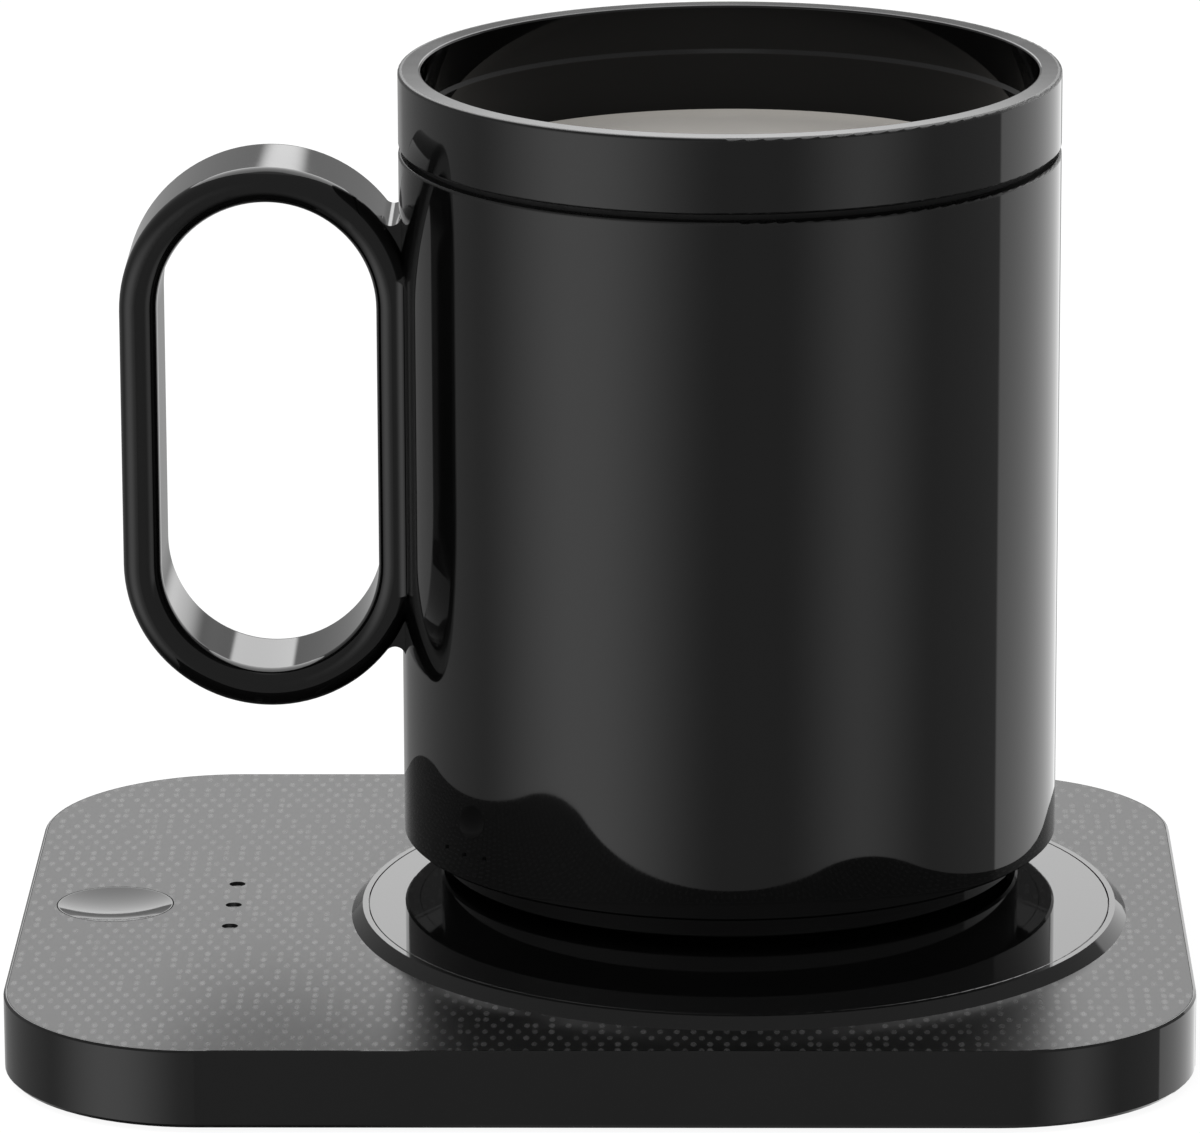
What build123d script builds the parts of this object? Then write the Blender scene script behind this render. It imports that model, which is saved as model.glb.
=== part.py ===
from build123d import *
import math
import os

# Electric mug warmer: a thin heated base with a dished push button, and the
# double-walled mug that belongs to it. Millimetres, +Z up. The origin lies
# under the middle of the base, on the surface that its rubber feet stand on.

# Base casing
base_width = 140.8
base_depth = 112.2
base_corner = 23.8
base_height = 9.45
side_wall = 1.8
roof_thickness = 1.3
top_edge_bevel = 0.25
bottom_edge_bevel = 0.5

# Textured sheet let into the roof
panel_thickness = 0.4
panel_border = 0.35
panel_gap = 0.06

# Bottom cover
cover_thickness = 1.4
cover_gap = 0.12
cover_rib_width = 1.2
cover_rib_height = 0.9
cover_rib_spacing = 11.0
cover_rib_foot_gap = 2.0
vent_slot_length = 16.0
vent_slot_width = 1.6
vent_slot_pitch = 4.0
vent_slot_count = 5

# Rubber feet, each over one cover screw
foot_radius = 5.8
foot_proud = 0.6
foot_recess = 0.6
foot_inset_x = 18.4
foot_inset_y = 18.1
foot_gap = 0.08
foot_edge = 0.3

# Self-tapping screws
cover_screw_radius = 1.1
cover_screw_head_radius = 2.1
cover_screw_head_height = 1.1
cover_screw_grip = 4.2
cover_pad_radius = 4.2
cover_pad_height = 2.0
boss_radius = 3.0
small_screw_radius = 0.8
small_screw_head_radius = 1.6
small_screw_head_height = 0.8
screw_clearance = 0.05
head_clearance = 0.15
screw_roof_left = 0.4
recess_reach = 0.55
recess_half_width = 0.13
recess_depth = 0.5
board_screw_tip = 0.7
board_hole_floor = 0.5

# Warming disc: a chamfered bezel ring around a glossy plate
disc_x = 16.5
disc_y = -1.4
disc_radius = 47.0
disc_rise = 1.33
disc_land = 0.8
plate_thickness = 1.0
plate_gap = 0.1
bezel_ledge = 2.0
bezel_skirt_wall = 1.4
bezel_skirt_depth = 0.7
bezel_fit = 0.1
gasket_width = 1.4
gasket_height = 0.3
gasket_gap = 0.05

# Heater stack under the plate
spreader_thickness = 0.8
element_thickness = 0.5
element_margin = 2.5
element_track_width = 2.4
element_track_pitch = 4.8
stack_gap = 0.25
clamp_thickness = 0.6
clamp_ear_reach = 4.2
clamp_ear_radius = 3.4
clamp_boss_radius = 2.7
clamp_ear_angles = (90, 210, 330)
lead_window_length = 6.0
lead_window_width = 9.0
lead_window_offset = 31.5
terminal_spacing = 4.4
terminal_size = 1.2
sensor_radius = 1.5
sensor_edge = 0.4
sensor_hole_gap = 0.6
fuse_length = 8.0
fuse_width = 3.6
fuse_height = 1.6
fuse_edge = 0.55
fuse_offset = 14.0

# Push button
button_radius = 7.0
button_inset_x = 10.95
button_y = 0.5
button_gap = 0.14
button_dish_depth = 0.9
button_dish_rim = 0.12
button_flange_width = 1.1
button_flange_height = 0.8
button_post_radius = 1.7
button_post_drop = 0.15
button_travel = 0.5
button_collar_wall = 1.0

# Switch under the button
switch_size = 6.0
switch_plunger_radius = 1.0
switch_plunger_proud = 0.75
switch_plunger_depth = 0.3
switch_edge = 0.3
switch_spare_depth = 0.2
switch_gap = 0.1

# Indicator lights
light_count = 3
light_inset_x = 25.4
light_y = 0.2
light_pitch = 8.5
light_hole_radius = 0.98
light_guide_gap = 0.05
light_guide_sunk = 0.47
light_guide_flange = 0.7
light_guide_flange_height = 0.5
led_length = 2.0
led_width = 1.25
led_height = 0.7
led_edge = 0.15
led_air_gap = 0.3

# Circuit board and what it carries
board_thickness = 1.0
board_lift = 1.25
board_inset = 4.4
board_front = -16.5
board_pad_gap = 3.8
board_right_gap = 3.5
board_tongue_width = 14.0
board_corner = 1.5
board_post_radius = 2.2
board_screw_margin = 4.4
connector_length = 4.5
connector_width = 8.4
connector_height = 2.4
chip_size = 5.0
chip_height = 0.9
chip_edge = 0.2
chip_from_right = 9.0
chip_from_shoulder = 15.0
transistor_length = 6.4
transistor_width = 5.2
transistor_height = 2.0
transistor_tab_width = 4.2
transistor_tab_height = 0.5
transistor_tab_proud = 1.2
transistor_led_gap = 3.8
choke_size = 6.0
choke_corner = 1.2
choke_height = 2.8
choke_hub_radius = 1.8
choke_hub_depth = 0.4
choke_from_shoulder = 5.5
capacitor_length = 3.2
capacitor_width = 2.5
capacitor_height = 1.6
capacitor_edge = 0.15
capacitor_pitch = 4.0
capacitor_chip_gap = 1.0

# Power inlet: a 24-contact reversible USB receptacle
inlet_from_left = 32.4
inlet_width = 8.94
inlet_height = 3.26
inlet_depth = 7.35
inlet_shell_wall = 0.3
inlet_sunk = 0.25
inlet_hole_gap = 0.3
inlet_tongue_width = 6.7
inlet_tongue_height = 0.7
inlet_tongue_setback = 0.9
inlet_backstop = 1.2

# Wiring inside the base
heater_lead_radius = 0.6
sensor_lead_radius = 0.5
lead_height_above_board = 1.5
lead_entry = 1.2

# Mug, standing on the plate
mug_offset_x = -1.1
mug_set_back = 16.4
mug_radius = 40.0
mug_height = 99.6
mug_lip_height = 9.1
mug_groove_height = 0.85
mug_groove_depth = 1.2
mug_shell_wall = 1.8
mug_underside = 4.56
mug_bottom_chamfer = 0.3
mug_shell_top_radius = 0.3
mug_lip_wall = 2.8
mug_lip_outer_radius = 0.35
mug_lip_inner_radius = 0.3
mug_ledge_drop = 5.5
mug_ledge_width = 0.45
mug_liner_wall = 1.0
mug_liner_floor = 1.5
mug_liner_corner = 7.0
mug_collar_height = 8.0
mug_collar_gap = 0.05
mug_foot_inset = 4.5
mug_foot_width = 7.1
mug_foot_lift = 1.0
mug_foot_edge = 0.3
mug_foot_ledge = 1.1
mug_foot_spigot = 2.4
mug_foot_spigot_wall = 1.2
mug_foot_gap = 0.08
mug_plate_flange = 5.2
mug_plate_thickness = 3.2
mug_plate_edge = 0.3

# Loop handle, on the left of the mug
handle_hole_width = 26.4
handle_hole_height = 58.2
handle_strap = 4.65
handle_top_strap = 4.3
handle_depth = 16.6
handle_wall_gap = 2.6
handle_middle = 55.4
handle_outer_edge = 2.0
handle_inner_edge = 1.9
handle_root_radius = 1.3
handle_root_overlap = 0.04
handle_web_start = 2.35
handle_web_radius = 1.4
handle_web_depth = 2.3
handle_web_length = 44.0

# Cutting tools pass a face by this much; solids that join sink in by this much
cut_past = 1.0
join_sunk = 0.1

# Heights that the pieces share
casing_bottom = foot_proud
casing_top = casing_bottom + base_height
cover_top = casing_bottom + cover_thickness
foot_top = casing_bottom + foot_recess
cover_screw_seat = foot_top + cover_screw_head_height + head_clearance
roof_top = casing_top - panel_thickness
roof_bottom = roof_top - roof_thickness
plate_top = casing_top + disc_rise
plate_bottom = plate_top - plate_thickness
spreader_bottom = plate_bottom - spreader_thickness
element_bottom = spreader_bottom - element_thickness
skirt_bottom = roof_bottom - bezel_skirt_depth
clamp_bottom = skirt_bottom - clamp_thickness
clamp_screw_tip = roof_top - screw_roof_left
board_bottom = cover_top + board_lift
board_top = board_bottom + board_thickness
pad_top = cover_top + cover_pad_height
flange_bottom = roof_bottom - button_flange_height
button_post_bottom = flange_bottom - button_post_drop
switch_top = button_post_bottom - switch_plunger_proud
inlet_middle = board_top + inlet_height / 2
lead_z = board_top + lead_height_above_board
sensor_bottom = lead_z - 2 * sensor_lead_radius
mug_shoulder = mug_height - mug_lip_height - mug_groove_height

# Radii that the pieces share
plate_radius = disc_radius - disc_rise - disc_land
bezel_inner_radius = plate_radius + plate_gap - bezel_ledge
bezel_skirt_radius = bezel_inner_radius + bezel_skirt_wall
stack_radius = bezel_inner_radius - stack_gap
clamp_ear_centre = bezel_skirt_radius + clamp_ear_reach
mug_bore_radius = mug_radius - mug_shell_wall
liner_bore_radius = mug_radius - mug_lip_wall - mug_ledge_width
liner_outer_radius = liner_bore_radius + mug_liner_wall
mug_foot_radius = mug_radius - mug_foot_inset
mug_plate_radius = mug_foot_radius - mug_foot_width
handle_hole_reach = mug_radius + handle_wall_gap
gasket_middle = (bezel_skirt_radius + disc_radius) / 2

# Places that the pieces share
foot_places = [
    (side_x * (base_width / 2 - foot_inset_x), side_y * (base_depth / 2 - foot_inset_y))
    for side_x in (-1, 1) for side_y in (-1, 1)
]
ear_places = [
    (disc_x + clamp_ear_centre * math.cos(math.radians(angle)),
     disc_y + clamp_ear_centre * math.sin(math.radians(angle)))
    for angle in clamp_ear_angles
]
button_x = -base_width / 2 + button_inset_x
light_x = -base_width / 2 + light_inset_x
light_places = [
    (light_x, light_y + light_pitch * (index - (light_count - 1) / 2)) for index in range(light_count)
]
inlet_x = -base_width / 2 + inlet_from_left
inlet_mouth = base_depth / 2 - inlet_sunk
board_left = -base_width / 2 + board_inset
board_right = disc_x - bezel_skirt_radius - board_right_gap
board_back = base_depth / 2 - side_wall - cover_gap
board_shoulder = base_depth / 2 - foot_inset_y - cover_pad_radius - board_pad_gap
board_screw_places = [
    (board_left + board_screw_margin, board_front + board_screw_margin),
    (board_right - board_screw_margin, board_front + board_screw_margin),
    (board_left + board_screw_margin, board_shoulder - board_screw_margin),
]
connector_x = board_right - connector_length / 2
chip_x = board_right - chip_from_right
chip_y = board_shoulder - chip_from_shoulder
choke_x = (board_left + board_right) / 2
choke_y = board_shoulder - choke_from_shoulder
terminal_x = disc_x - lead_window_offset
mug_x = disc_x + mug_offset_x
mug_y = disc_y + mug_set_back


def block(x_low, x_high, y_low, y_high, z_low, z_high):
    size = (x_high - x_low, y_high - y_low, z_high - z_low)
    return Pos(x_low, y_low, z_low) * Box(*size, align=(Align.MIN, Align.MIN, Align.MIN))


def post(x, y, radius, z_low, z_high):
    height = z_high - z_low
    return Pos(x, y, z_low) * Cylinder(radius, height, align=(Align.CENTER, Align.CENTER, Align.MIN))


def rounded_plate(inset, z_low, z_high):
    """The base's outline, drawn in by inset, between two heights."""
    outline = RectangleRounded(base_width - 2 * inset, base_depth - 2 * inset, base_corner - inset)
    return extrude(Pos(0, 0, z_low) * outline, z_high - z_low)


def turned(points, x, y, z):
    """A solid of revolution about a vertical axis, from radius and height pairs."""
    section = make_face(Plane.XZ * Polyline(*points, close=True))
    return Pos(x, y, z) * revolve(section, Axis.Z)


def edges_at(solid, z, tolerance=0.01):
    return solid.edges().filter_by_position(Axis.Z, z - tolerance, z + tolerance)


def screw(x, y, head_z, head_radius, head_height, shank_radius, tip_z):
    """A cross-head screw. The head's underside is at head_z, and its top faces away from the tip."""
    upwards = 1 if tip_z > head_z else -1
    head_top = head_z - upwards * head_height
    head_low, head_high = sorted((head_z, head_top))
    shank_low, shank_high = sorted((head_z, tip_z))
    recess_low, recess_high = sorted((head_top, head_top + upwards * head_height * recess_depth))
    whole = post(x, y, head_radius, head_low, head_high) + post(x, y, shank_radius, shank_low, shank_high)
    half = head_radius * recess_reach
    slot = head_radius * recess_half_width
    cross = block(x - half, x + half, y - slot, y + slot, recess_low, recess_high)
    cross += block(x - slot, x + slot, y - half, y + half, recess_low, recess_high)
    return whole - cross


# ---- base casing ----

def housing():
    shell = rounded_plate(0, casing_bottom, casing_top)
    shell = chamfer(edges_at(shell, casing_top), top_edge_bevel)
    shell = chamfer(edges_at(shell, casing_bottom), bottom_edge_bevel)
    shell -= rounded_plate(side_wall, casing_bottom - cut_past, roof_bottom)
    shell -= rounded_plate(panel_border, roof_top, casing_top + cut_past)
    for x, y in foot_places:
        shell += post(x, y, boss_radius, pad_top, roof_bottom + join_sunk)
    for x, y in ear_places:
        shell += post(x, y, clamp_boss_radius, skirt_bottom, roof_bottom + join_sunk)
    flange_room = button_radius + button_gap + button_flange_width
    collar_bottom = flange_bottom - button_travel
    collar_radius = flange_room + button_collar_wall
    shell += post(button_x, button_y, collar_radius, collar_bottom, roof_bottom + join_sunk)
    shell -= post(button_x, button_y, flange_room, collar_bottom - cut_past, roof_bottom)
    shell -= post(button_x, button_y, button_radius + button_gap, roof_bottom - cut_past, casing_top)
    for x, y in light_places:
        shell -= post(x, y, light_hole_radius, roof_bottom - cut_past, casing_top)
    shell -= post(disc_x, disc_y, bezel_skirt_radius + bezel_fit, roof_bottom - cut_past, casing_top)
    for x, y in foot_places:
        shell -= post(x, y, cover_screw_radius + screw_clearance, pad_top - cut_past,
                      roof_bottom - screw_roof_left)
    for x, y in ear_places:
        shell -= post(x, y, small_screw_radius + screw_clearance, skirt_bottom - cut_past,
                      clamp_screw_tip + screw_clearance)
    return shell - inlet_hole()


def inlet_hole():
    outline = SlotOverall(inlet_width + 2 * inlet_hole_gap, inlet_height + 2 * inlet_hole_gap)
    return extrude(inlet_plane(base_depth / 2 + cut_past) * outline, -(side_wall + 2 * cut_past))


def top_panel():
    sheet = rounded_plate(panel_border + panel_gap, roof_top, casing_top)
    holes = [(x, y, light_hole_radius) for x, y in light_places]
    holes.append((disc_x, disc_y, bezel_skirt_radius + bezel_fit))
    holes.append((button_x, button_y, button_radius + button_gap))
    for x, y, radius in holes:
        sheet -= post(x, y, radius, roof_top - cut_past, casing_top + cut_past)
    return sheet


def bottom_cover():
    plate = rounded_plate(side_wall + cover_gap, casing_bottom, cover_top)
    for x, y in foot_places:
        plate += post(x, y, cover_pad_radius, cover_top - join_sunk, pad_top)
    for x, y in board_screw_places:
        plate += post(x, y, board_post_radius, cover_top - join_sunk, board_bottom)
    plate += cover_ribs()
    for x, y in foot_places:
        plate -= post(x, y, foot_radius + foot_gap, casing_bottom - cut_past, foot_top)
        plate -= post(x, y, cover_screw_head_radius + head_clearance, casing_bottom, cover_screw_seat)
        plate -= post(x, y, cover_screw_radius + screw_clearance, casing_bottom, pad_top + cut_past)
    for x, y in board_screw_places:
        plate -= post(x, y, small_screw_radius + screw_clearance, casing_bottom + board_hole_floor,
                      board_bottom + cut_past)
    for index in range(vent_slot_count):
        y = disc_y + vent_slot_pitch * (index - (vent_slot_count - 1) / 2)
        slot = Pos(disc_x, y, casing_bottom - cut_past) * SlotOverall(vent_slot_length, vent_slot_width)
        plate -= extrude(slot, cover_thickness + cover_rib_height + 2 * cut_past)
    return plate


def cover_ribs():
    """Stiffening ribs that run front to back under the heater."""
    ribs = None
    half_length = base_depth / 2 - foot_inset_y - foot_radius - cover_rib_foot_gap
    half_count = int((stack_radius - cover_rib_width) // cover_rib_spacing)
    for index in range(-half_count, half_count + 1):
        x = disc_x + index * cover_rib_spacing
        if abs(x) > base_width / 2 - side_wall - 2 * cover_rib_width:
            continue
        rib = block(x - cover_rib_width / 2, x + cover_rib_width / 2, -half_length, half_length,
                    cover_top - join_sunk, cover_top + cover_rib_height)
        ribs = rib if ribs is None else ribs + rib
    return ribs


def rubber_foot(place):
    x, y = place
    foot = post(x, y, foot_radius, 0, foot_top)
    return fillet(edges_at(foot, 0), foot_edge)


def cover_screws():
    return [
        screw(x, y, cover_screw_seat, cover_screw_head_radius, cover_screw_head_height,
              cover_screw_radius, cover_screw_seat + cover_screw_grip)
        for x, y in foot_places
    ]


# ---- warming disc and heater ----

def disc_bezel():
    ledge = plate_bottom - casing_top
    skirt = skirt_bottom - casing_top
    seat = plate_radius + plate_gap
    groove_low = gasket_middle - gasket_width / 2
    groove_high = gasket_middle + gasket_width / 2
    points = [
        (disc_radius, 0), (disc_radius - disc_rise, disc_rise), (seat, disc_rise), (seat, ledge),
        (bezel_inner_radius, ledge), (bezel_inner_radius, skirt), (bezel_skirt_radius, skirt),
        (bezel_skirt_radius, 0), (groove_low, 0), (groove_low, gasket_height),
        (groove_high, gasket_height), (groove_high, 0),
    ]
    return turned(points, disc_x, disc_y, casing_top)


def disc_gasket():
    low = gasket_middle - gasket_width / 2 + gasket_gap
    high = gasket_middle + gasket_width / 2 - gasket_gap
    points = [(low, 0), (high, 0), (high, gasket_height), (low, gasket_height)]
    return turned(points, disc_x, disc_y, casing_top)


def warming_plate():
    plate = post(disc_x, disc_y, plate_radius, plate_bottom, plate_top)
    return fillet(edges_at(plate, plate_top), plate_gap)


def heat_spreader():
    return post(disc_x, disc_y, stack_radius, spreader_bottom, plate_bottom)


def heating_element():
    """An etched foil heater: a thin film disc with its track rings and two terminal tabs."""
    film_top = spreader_bottom
    film_low = spreader_bottom - element_thickness / 2
    radius = stack_radius - element_margin
    element = post(disc_x, disc_y, radius, film_low, film_top)
    ring_radius = radius - element_track_width
    while ring_radius > lead_window_length:
        ring = post(disc_x, disc_y, ring_radius, element_bottom, film_low + join_sunk)
        ring -= post(disc_x, disc_y, ring_radius - element_track_width, element_bottom - cut_past, film_top)
        element += ring
        ring_radius -= element_track_pitch
    for side in (-1, 1):
        y = disc_y + side * terminal_spacing / 2
        half = terminal_size / 2
        element += block(terminal_x - half, terminal_x + half, y - half, y + half,
                         lead_z - heater_lead_radius, film_low + join_sunk)
    return element


def lead_window(z_low, z_high):
    return block(terminal_x - lead_window_length / 2, terminal_x + lead_window_length / 2,
                 disc_y - lead_window_width / 2, disc_y + lead_window_width / 2, z_low, z_high)


def insulation_pad():
    pad = post(disc_x, disc_y, stack_radius, skirt_bottom, element_bottom)
    low = skirt_bottom - cut_past
    high = element_bottom + cut_past
    return pad - lead_window(low, high) - post(disc_x, disc_y, sensor_radius + sensor_hole_gap, low, high)


def heater_clamp():
    """Pressed steel plate with three ears, which holds the stack up against the disc."""
    plate = post(disc_x, disc_y, bezel_skirt_radius, clamp_bottom, skirt_bottom)
    for (x, y), angle in zip(ear_places, clamp_ear_angles):
        plate += post(x, y, clamp_ear_radius, clamp_bottom, skirt_bottom)
        web = Pos(bezel_skirt_radius, 0) * Rectangle(clamp_ear_reach * 2, clamp_ear_radius * 2)
        plate += extrude(Pos(disc_x, disc_y, clamp_bottom) * Rot(0, 0, angle) * web, clamp_thickness)
    low = clamp_bottom - cut_past
    high = skirt_bottom + cut_past
    for x, y in ear_places:
        plate -= post(x, y, small_screw_radius + 2 * screw_clearance, low, high)
    return plate - lead_window(low, high) - post(disc_x, disc_y, sensor_radius + sensor_hole_gap, low, high)


def clamp_screws():
    return [
        screw(x, y, clamp_bottom, small_screw_head_radius, small_screw_head_height,
              small_screw_radius, clamp_screw_tip)
        for x, y in ear_places
    ]


def temperature_sensor():
    bead = post(disc_x, disc_y, sensor_radius, sensor_bottom, element_bottom)
    return fillet(edges_at(bead, sensor_bottom), sensor_edge)


def thermal_fuse():
    x = disc_x - fuse_offset
    y = disc_y + fuse_offset
    fuse = block(x - fuse_length / 2, x + fuse_length / 2, y - fuse_width / 2, y + fuse_width / 2,
                 clamp_bottom - fuse_height, clamp_bottom)
    return fillet(edges_at(fuse, clamp_bottom - fuse_height), fuse_edge)


# ---- button, switch and lights ----

def button_cap():
    """A round cap, dished on top, with a flange under the roof and a post to the switch."""
    cap = post(button_x, button_y, button_radius, roof_bottom - join_sunk, casing_top)
    cap += post(button_x, button_y, button_radius + button_flange_width - button_gap,
                flange_bottom, roof_bottom)
    cap += post(button_x, button_y, button_post_radius, button_post_bottom, roof_bottom)
    dish_radius = button_radius - button_dish_rim
    ball_radius = (dish_radius ** 2 + button_dish_depth ** 2) / (2 * button_dish_depth)
    cap -= Pos(button_x, button_y, casing_top + ball_radius - button_dish_depth) * Sphere(ball_radius)
    return cap


def tact_switch():
    half = switch_size / 2
    body = block(button_x - half, button_x + half, button_y - half, button_y + half, board_top, switch_top)
    body = chamfer(edges_at(body, switch_top), switch_edge)
    bore_bottom = switch_top - switch_plunger_depth - button_travel - switch_spare_depth
    return body - post(button_x, button_y, switch_plunger_radius + switch_gap, bore_bottom,
                       switch_top + cut_past)


def switch_plunger():
    return post(button_x, button_y, switch_plunger_radius, switch_top - switch_plunger_depth,
                button_post_bottom)


def light_guide(place):
    x, y = place
    led_top = board_top + led_height
    pin_radius = light_hole_radius - light_guide_gap
    guide = post(x, y, pin_radius, led_top + led_air_gap, casing_top - light_guide_sunk)
    return guide + post(x, y, light_hole_radius + light_guide_flange,
                        roof_bottom - light_guide_flange_height, roof_bottom)


def indicator_led(place):
    x, y = place
    led = block(x - led_length / 2, x + led_length / 2, y - led_width / 2, y + led_width / 2,
                board_top, board_top + led_height)
    return chamfer(edges_at(led, board_top + led_height), led_edge)


# ---- circuit board ----

def circuit_board():
    """A main part beside the heater, and a tongue that runs back to the inlet."""
    tongue_left = inlet_x - board_tongue_width / 2
    board = board_area(board_left, board_right, board_front, board_shoulder)
    board += board_area(tongue_left, tongue_left + board_tongue_width,
                        board_shoulder - 2 * board_corner, board_back)
    for x, y in board_screw_places:
        board -= post(x, y, small_screw_radius + 2 * screw_clearance, board_bottom - cut_past,
                      board_top + cut_past)
    return board


def board_area(x_low, x_high, y_low, y_high):
    outline = RectangleRounded(x_high - x_low, y_high - y_low, board_corner)
    return extrude(Pos((x_low + x_high) / 2, (y_low + y_high) / 2, board_bottom) * outline, board_thickness)


def board_screws():
    tip = casing_bottom + board_screw_tip
    return [
        screw(x, y, board_top, small_screw_head_radius, small_screw_head_height, small_screw_radius, tip)
        for x, y in board_screw_places
    ]


def wire_connector():
    half_x = connector_length / 2
    half_y = connector_width / 2
    body = block(connector_x - half_x, connector_x + half_x, disc_y - half_y, disc_y + half_y,
                 board_top, board_top + connector_height)
    for y, radius in lead_rows():
        body -= Pos(connector_x + half_x, y, lead_z) * Rot(0, 90, 0) * Cylinder(radius, 2 * lead_entry)
    return body


def controller_chip():
    half = chip_size / 2
    top = board_top + chip_height
    body = block(chip_x - half, chip_x + half, chip_y - half, chip_y + half, board_top, top)
    return chamfer(edges_at(body, top), chip_edge)


def power_transistor():
    """A surface-mounted transistor with its heat tab."""
    x = light_x - (led_length + transistor_length) / 2 - transistor_led_gap
    y = board_front + board_screw_margin
    body = block(x - transistor_length / 2, x + transistor_length / 2,
                 y - transistor_width / 2, y + transistor_width / 2,
                 board_top, board_top + transistor_height)
    tab = block(x - transistor_length / 2 - transistor_tab_proud, x + transistor_length / 2,
                y - transistor_tab_width / 2, y + transistor_tab_width / 2,
                board_top, board_top + transistor_tab_height)
    return body + tab


def power_choke():
    half = choke_size / 2
    top = board_top + choke_height
    body = block(choke_x - half, choke_x + half, choke_y - half, choke_y + half, board_top, top)
    body = fillet(body.edges().filter_by(Axis.Z), choke_corner)
    return body - post(choke_x, choke_y, choke_hub_radius, top - choke_hub_depth, top + cut_past)


def capacitors():
    """Two behind the controller and two to its right, their long sides facing it."""
    away = (chip_size + capacitor_width) / 2 + capacitor_chip_gap
    pieces = []
    for step in (-capacitor_pitch / 2, capacitor_pitch / 2):
        for x, y, long_x, long_y in (
            (chip_x + step, chip_y + away, capacitor_length, capacitor_width),
            (chip_x + away, chip_y + step, capacitor_width, capacitor_length),
        ):
            piece = block(x - long_x / 2, x + long_x / 2, y - long_y / 2, y + long_y / 2,
                          board_top, board_top + capacitor_height)
            pieces.append(chamfer(piece.edges(), capacitor_edge))
    return pieces


# ---- power inlet ----

def inlet_plane(y):
    return Plane(origin=(inlet_x, y, inlet_middle), x_dir=(1, 0, 0), z_dir=(0, 1, 0))


def inlet_shell():
    outer = extrude(inlet_plane(inlet_mouth) * SlotOverall(inlet_width, inlet_height), -inlet_depth)
    bore = SlotOverall(inlet_width - 2 * inlet_shell_wall, inlet_height - 2 * inlet_shell_wall)
    return outer - extrude(inlet_plane(inlet_mouth + cut_past) * bore, -(inlet_depth + 2 * cut_past))


def inlet_tongue():
    """The insulator: a block that closes the back of the shell and carries the tongue."""
    inner_width = inlet_width - 2 * inlet_shell_wall
    inner_height = inlet_height - 2 * inlet_shell_wall
    back = extrude(inlet_plane(inlet_mouth - inlet_depth + inlet_backstop)
                   * SlotOverall(inner_width, inner_height), -inlet_backstop)
    half_width = inlet_tongue_width / 2
    half_height = inlet_tongue_height / 2
    tongue = block(inlet_x - half_width, inlet_x + half_width,
                   inlet_mouth - inlet_depth + join_sunk, inlet_mouth - inlet_tongue_setback,
                   inlet_middle - half_height, inlet_middle + half_height)
    return back + tongue


# ---- wiring ----

def lead_rows():
    """Where each lead enters the connector: its row in Y and its radius."""
    rows = [(disc_y + side * terminal_spacing / 2, heater_lead_radius) for side in (-1, 1)]
    return rows + [(disc_y, sensor_lead_radius)]


def lead(x_start, y, radius):
    """A wire that runs from the heater into the connector."""
    x_end = connector_x + connector_length / 2 - lead_entry
    length = x_start - x_end
    return Pos(x_end + length / 2, y, lead_z) * Rot(0, 90, 0) * Cylinder(radius, length)


def heater_leads():
    return [lead(terminal_x - terminal_size / 2, y, radius) for y, radius in lead_rows()[:2]]


def sensor_lead():
    y, radius = lead_rows()[2]
    return lead(disc_x - sensor_radius, y, radius)


# ---- mug ----

def mug_shell():
    bottom = mug_underside
    top = mug_shoulder
    edge = mug_bottom_chamfer
    points = [
        (mug_bore_radius, bottom), (mug_radius - edge, bottom), (mug_radius, bottom + edge),
        (mug_radius, top), (mug_bore_radius, top),
    ]
    shell = turned(points, mug_x, mug_y, plate_top)
    rim = [edge for edge in edges_at(shell, plate_top + top) if edge.radius > mug_radius - 0.01]
    return fillet(rim, mug_shell_top_radius)


def mug_liner():
    """The inner cup, with the lip band that covers the top of the shell."""
    lip_bottom = mug_height - mug_lip_height
    lip_bore = mug_radius - mug_lip_wall
    ledge = mug_height - mug_ledge_drop
    floor = mug_plate_thickness
    collar_radius = mug_bore_radius - mug_collar_gap
    collar_bottom = mug_shoulder - mug_collar_height
    points = [
        (0, floor), (liner_outer_radius, floor), (liner_outer_radius, collar_bottom),
        (collar_radius, collar_bottom), (collar_radius, lip_bottom), (mug_radius, lip_bottom),
        (mug_radius, mug_height), (lip_bore, mug_height), (lip_bore, ledge),
        (liner_bore_radius, ledge - mug_ledge_width), (liner_bore_radius, floor + mug_liner_floor),
        (0, floor + mug_liner_floor),
    ]
    cup = turned(points, mug_x, mug_y, plate_top)

    def circles(z, radius):
        ring = edges_at(cup, plate_top + z)
        return [edge for edge in ring if abs(edge.radius - radius) < 0.01]

    cup = fillet(circles(floor + mug_liner_floor, liner_bore_radius), mug_liner_corner)
    cup = fillet(circles(floor, liner_outer_radius), mug_liner_corner + mug_liner_wall)
    cup = fillet(circles(mug_height, mug_radius), mug_lip_outer_radius)
    cup = fillet(circles(mug_height, lip_bore), mug_lip_inner_radius)
    return fillet(circles(lip_bottom, mug_radius), mug_shell_top_radius)


def mug_seal():
    """A ring of black rubber that shows as the groove under the lip band."""
    low = mug_shoulder
    high = mug_height - mug_lip_height
    inner = mug_bore_radius
    outer = mug_radius - mug_groove_depth
    return turned([(inner, low), (outer, low), (outer, high), (inner, high)], mug_x, mug_y, plate_top)


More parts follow.
